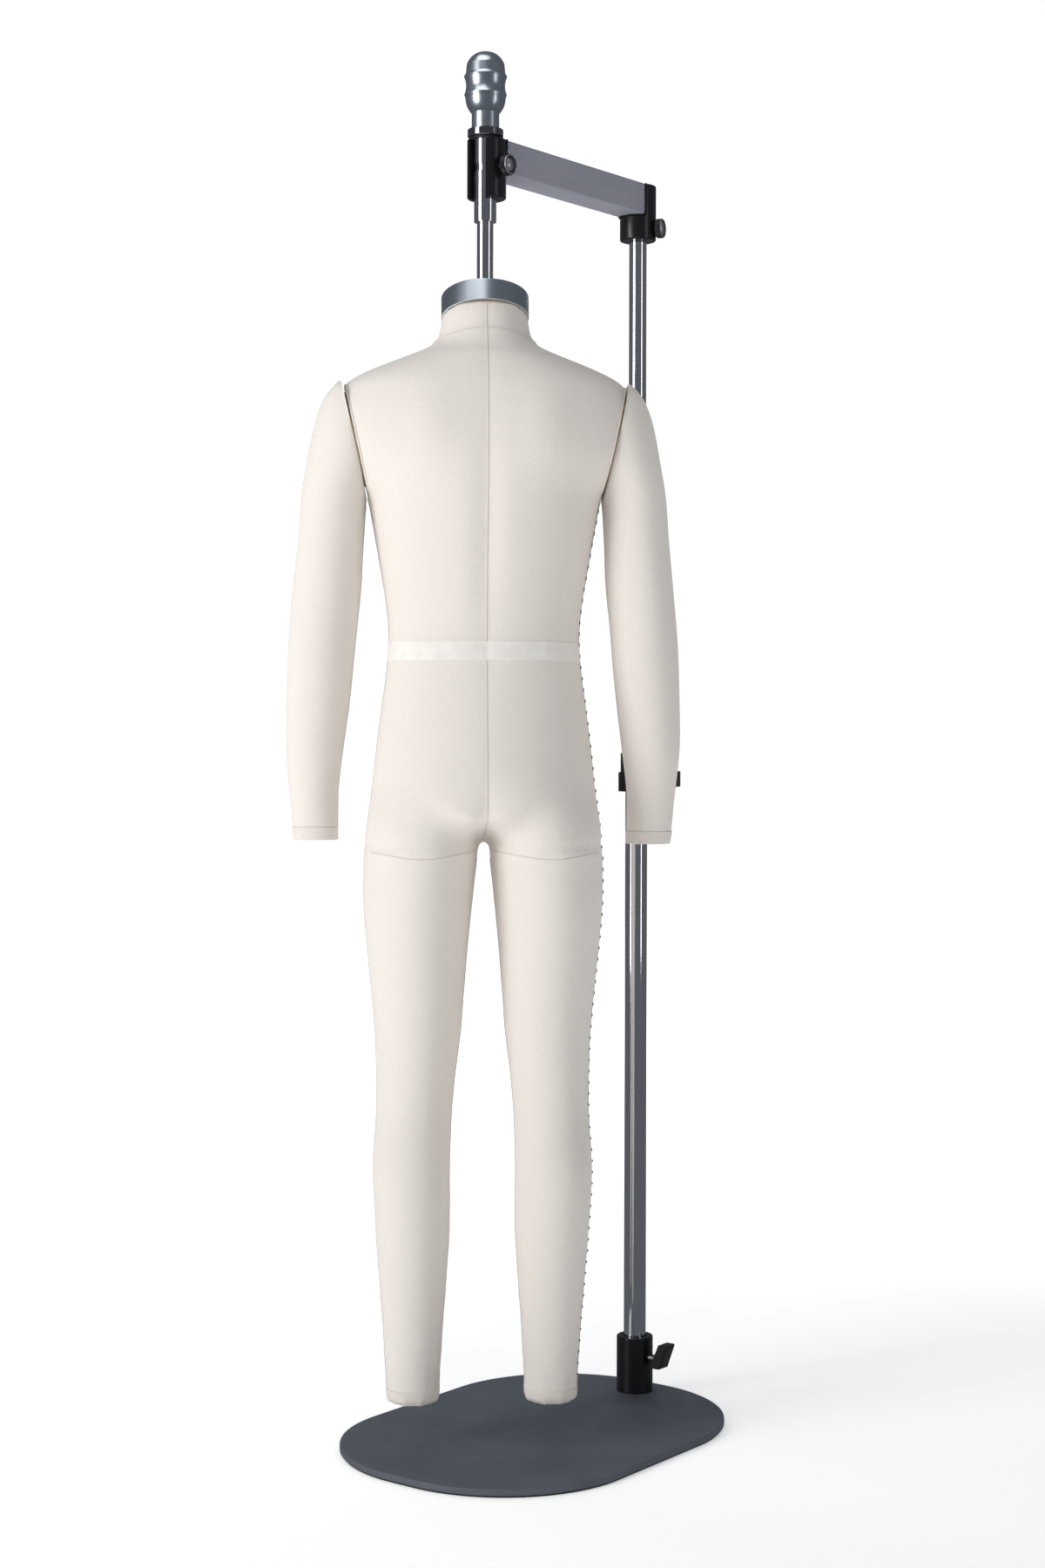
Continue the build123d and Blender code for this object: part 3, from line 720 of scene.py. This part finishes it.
for side_name, side in SIDES.items():
    centre = (side * ANKLE_AXIS[0], ANKLE_AXIS[1])
    hem = band(
        f"{side_name}_ankle_band", body_surface, centre, *ANKLE_HEM, HEM_THICKNESS, 0.3, 96, 60
    )
    finish_piece(hem, "form", looks["hem_fabric"], "hem_fabric", f"{side_name}_ankle_hem")


def armhole_edge(side):
    """The armhole's outline: where the torso's skin meets its cut plane, once round."""
    back, front = [], []
    for z in heights(1428, ARMPIT + 4, 4):
        width, front_depth, back_depth = between(TORSO, z)
        x = armhole_x(z) - 1.7
        # The oval of torso_point solved for its depth: 2 / 0.94 and 0.94 / 2.
        share = max(0.0, 1 - (min(x / width, 1)) ** 2.13)
        back.append(Vector((side * x, back_depth * share**0.47, z)) * MM)
        front.append(Vector((side * x, -front_depth * share**0.47, z)) * MM)
    return back + list(reversed(front))


# ---- Arms -----------------------------------------------------------------------------------


def arm_point(side, sole, z, angle):
    """A point of an arm's skin; its flat top stands against the armhole plane."""
    top = ARM[0][0]
    stretched = top - (top - z) * (top - ARM[-1][0]) / (top - sole)
    p = limb_point(ARM, side, stretched, angle)
    p.z = z
    limit = armhole_x(z) + ARM_GAP
    if side * p.x < limit and z > ARMPIT - 30:
        p.x = side * limit
    crumple = 1.3 * noise.noise(Vector((p.x * 0.02 + side * 7, p.y * 0.02, z * 0.011)))
    if z < 1400:
        p.x += crumple * math.cos(angle)
        p.y += crumple * math.sin(angle)
    return p


def arm(side_name, side):
    """One arm's skin, wrist hem and seams, and the piping round its armhole on the torso."""
    body_name = f"{side_name}_arm"
    sole = ARM_SOLE[side_name]
    levels = heights(1434, 1404, 3) + heights(1398, sole, 6)
    rings = [ring_of(lambda a: arm_point(side, sole, z, a), 72) for z in levels]
    cover = skin(f"{side_name}_arm_skin", rings)
    finish_piece(cover, body_name, looks["cover_fabric"], "cover_fabric", f"{side_name}_arm_cover")
    surface = surface_of(cover)
    centre = (side * WRIST_AXIS[0], WRIST_AXIS[1])
    edges = [sole + edge for edge in WRIST_HEM]
    hem = band(f"{side_name}_wrist_band", surface, centre, *edges, HEM_THICKNESS, 0.3, 72, 80)
    finish_piece(hem, body_name, looks["hem_fabric"], "hem_fabric", f"{side_name}_wrist_hem")
    lines = []
    for direction in (Vector((0, 1, 0)), Vector((side, 0, 0))):
        casts = []
        for z in heights(1270, sole + 18, 5):
            x, _, front, back = between(ARM, z)
            casts.append((Vector((side * x, (back - front) / 2, z)), direction))
        line = seam_path(casts, surface, 70)
        lines.append(tube("seam_raw", line, ARM_SEAM_RADIUS * MM, sides=6))
    finish_piece(joined(f"{side_name}_arm_seams", lines), body_name, seam_cloth_painted_shade, "cover_fabric")
    piping = tube(
        f"{side_name}_armhole_piping", armhole_edge(side), PIPING_RADIUS * MM, closed=True
    )
    finish_piece(piping, "form", looks["hem_fabric"], "hem_fabric")


for side_name, side in SIDES.items():
    arm(side_name, side)


# ---- Hardware details -----------------------------------------------------------------------


def axis_of(joint_name):
    """A joint's point and direction."""
    joint = next(j for j in frame["joints"] if j["name"] == joint_name)
    return Vector(joint["pos_m"]), Vector(joint["axis"]).normalized()


def turned(name, origin, along, profile, count=72, ridges=0.0):
    """A turned piece from rows of distance along the axis, radius, and whether knurled."""
    across = along.orthogonal().normalized()
    up = along.cross(across)
    points, faces = [], []
    for distance, radius, grooved in profile:
        for i in range(count):
            t = 2 * math.pi * i / count
            r = radius - (ridges if grooved and i % 2 else 0)
            outward = r * (math.cos(t) * across + math.sin(t) * up)
            points.append((origin + along * distance + outward) / MM)
    for k in range(len(profile) - 1):
        for i in range(count):
            j = (i + 1) % count
            faces.append((k * count + i, k * count + j, (k + 1) * count + j, (k + 1) * count + i))
    faces.append(tuple(range(count)))
    faces.append(tuple((len(profile) - 1) * count + i for i in reversed(range(count))))
    return mesh_object(name, points, faces, smooth=False)


def knob(node_name, joint_name, body_name, start):
    """A knurled thumb screw with a polished rim and a dished face."""
    origin, along = axis_of(joint_name)
    origin += along * start
    thick, radius = KNOB_THICKNESS, KNOB_RADIUS
    profile = [
        (0, radius - 0.0012, False),
        (0.0012, radius, True),
        (thick - 0.0015, radius, True),
        (thick - 0.0008, radius - 0.0006, False),
        (thick - 0.0004, radius - 0.0035, False),
        (thick - 0.0028, radius - 0.0042, False),
    ]
    head = turned(f"{node_name}_knurled", origin, along, profile, 96, KNURL_DEPTH)
    finish_piece(head, body_name, looks["knob_black"], "knob_black", node_name)
    profile = [
        (thick - 0.001, radius - 0.0026, False),
        (thick - 0.0002, radius - 0.0024, False),
        (thick + 0.0001, radius - 0.0017, False),
        (thick - 0.0003, radius - 0.0008, False),
        (thick - 0.0012, radius - 0.0006, False),
        (thick - 0.002, radius - 0.0026, False),
    ]
    rim = turned(f"{node_name}_rim", origin, along, profile)
    rim.data.polygons.foreach_set("use_smooth", [True] * len(rim.data.polygons))
    finish_piece(rim, body_name, bright_rim, "screw_steel")


knob("arm_knob", "arm_knob_turn", "arm_clamp", ARM_KNOB_START)
knob("cradle_knob", "cradle_knob_turn", "cradle_clamp", CRADLE_KNOB_START)


def welds():
    """A rippled bead up each side and along the bottom of the arm at both of its sockets."""
    low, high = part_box("arm_tube")
    pole, _ = axis_of("arm_turn")
    pole.z = 0
    outward = pole.normalized()
    across = Vector((-outward.y, outward.x, 0))
    beads = []
    half, top, bottom = ARM_HALF_WIDTH, high[2], low[2]
    steps = [k / WELD_STEPS for k in range(1, WELD_STEPS + 1)]
    outline = [(half, top)]
    outline += [(half, top - (top - bottom) * t) for t in steps]
    outline += [(half - 2 * half * t, bottom) for t in steps]
    outline += [(-half, bottom + (top - bottom) * t) for t in steps]
    for centre, sense in ((outward * CRADLE_SHIFT, 1), (pole, -1)):
        path = []
        for lateral, z in outline:
            out = math.sqrt(SOCKET_RADIUS**2 - lateral**2)
            path.append(centre + across * lateral + outward * sense * out + Vector((0, 0, z)))
        wavy = [p + outward * sense * random.uniform(-0.0004, 0.0012) for p in path]
        beads.append(tube("weld_raw", wavy, WELD_RADIUS, sides=8))
    finish_piece(joined("arm_welds", beads), "arm", weld_bead, "arm_grey")


welds()


# ---- Studio ---------------------------------------------------------------------------------


def softbox(name, place, target, size, power, color=(1, 1, 1), mirrored=True):
    """A rectangular light aimed at a target; where mirrored is off, no reflection shows it."""
    light = bpy.data.lights.new(name, "AREA")
    light.shape = "RECTANGLE"
    light.size, light.size_y = size
    light.energy = power
    light.color = color
    obj = bpy.data.objects.new(name, light)
    obj.location = place
    obj.rotation_euler = (Vector(target) - Vector(place)).to_track_quat("-Z", "Y").to_euler()
    obj.visible_glossy = mirrored
    bpy.context.collection.objects.link(obj)


def floor_with_painted_glow():
    """Pale floor with a painted glow, brighter away from the part until it meets the white wall."""
    s = Shader("floor_painted_glow", (0.93, 0.93, 0.93), 0.75)
    distance = s.add("ShaderNodeVectorMath", operation="LENGTH")
    s.link(s.coords.outputs["Object"], distance.inputs[0])
    spread = s.add("ShaderNodeMapRange")
    spread.inputs["From Min"].default_value = 1.2
    spread.inputs["From Max"].default_value = 4.5
    spread.inputs["To Min"].default_value = 0.4
    spread.inputs["To Max"].default_value = 1.0
    s.link(distance.outputs["Value"], spread.inputs["Value"])
    # Painted light: the floor glows at strength 0.4 within 1.2 m of the middle, rising to 1.0 at
    # 4.5 m.
    s.bsdf.inputs["Emission Color"].default_value = (1, 1, 1, 1)
    s.link(spread.outputs["Result"], s.bsdf.inputs["Emission Strength"])
    return s.material


def add_floor():
    """A square sheet of the pale floor with its painted glow, under everything."""
    mesh = bpy.data.meshes.new("floor")
    corners = [(-9, -9, 0), (9, -9, 0), (9, 9, 0), (-9, 9, 0)]
    mesh.from_pydata(corners, [], [(0, 1, 2, 3)])
    mesh.materials.append(floor_with_painted_glow())
    floor = bpy.data.objects.new("floor", mesh)
    bpy.context.collection.objects.link(floor)
    floor.visible_glossy = False


def add_backdrop():
    """A round white wall that the camera sees and that lights nothing."""
    glow = bpy.data.materials.new("backdrop_glow")
    glow.use_nodes = True
    tree = glow.node_tree
    tree.nodes.clear()
    emission = tree.nodes.new("ShaderNodeEmission")
    emission.inputs["Strength"].default_value = 1.05
    output = tree.nodes.new("ShaderNodeOutputMaterial")
    tree.links.new(emission.outputs["Emission"], output.inputs["Surface"])
    bpy.ops.mesh.primitive_cylinder_add(
        vertices=96, radius=8.5, depth=12, end_fill_type="NOTHING", location=(0, 0, 5.9)
    )
    backdrop = bpy.context.object
    backdrop.name = "backdrop"
    backdrop.data.materials.append(glow)
    backdrop.visible_glossy = False
    backdrop.visible_diffuse = False


def add_world():
    """A faint cool light from all round."""
    world = bpy.data.worlds.new("studio")
    world.use_nodes = True
    background = world.node_tree.nodes["Background"]
    background.inputs["Color"].default_value = (0.62, 0.67, 0.75, 1)
    background.inputs["Strength"].default_value = 0.17
    bpy.context.scene.world = world


def add_camera():
    """A level camera in front of the form's back, shifted down as the photograph is framed."""
    camera = bpy.data.cameras.new("camera")
    camera.lens = 56.17
    camera.sensor_width = 36
    camera.shift_y = -0.0376
    view = bpy.data.objects.new("camera", camera)
    view.location = (0.148, 3.274, 0.978)
    view.rotation_euler = Vector((-0.061, -0.998, 0)).to_track_quat("-Z", "Y").to_euler()
    view.rotation_euler.rotate_axis("Z", math.radians(0.17))
    bpy.context.collection.objects.link(view)
    bpy.context.scene.camera = view


add_floor()
add_backdrop()
add_world()

LIGHT_TARGET = (0, 0, 1.0)
WARM = (1, 0.97, 0.94)
softbox("key", (3.0, 1.9, 1.6), LIGHT_TARGET, (1.5, 2.8), 73)
softbox("fill", (-2.8, 1.9, 1.4), LIGHT_TARGET, (0.35, 2.2), 8)
softbox("right_fill", (-3.0, 1.0, 1.1), LIGHT_TARGET, (1.5, 2.5), 2, WARM, False)
softbox("front_fill", (0.8, 3.8, 2.2), LIGHT_TARGET, (1.2, 1.6), 10, WARM, False)
softbox("top", (0.6, 0.9, 3.6), LIGHT_TARGET, (2.0, 2.0), 18)
softbox("floor_wash", (0, -3.2, 3.2), (0, -4.0, 0), (9, 2.5), 160, mirrored=False)

add_camera()
bpy.context.scene.view_settings.view_transform = "Standard"
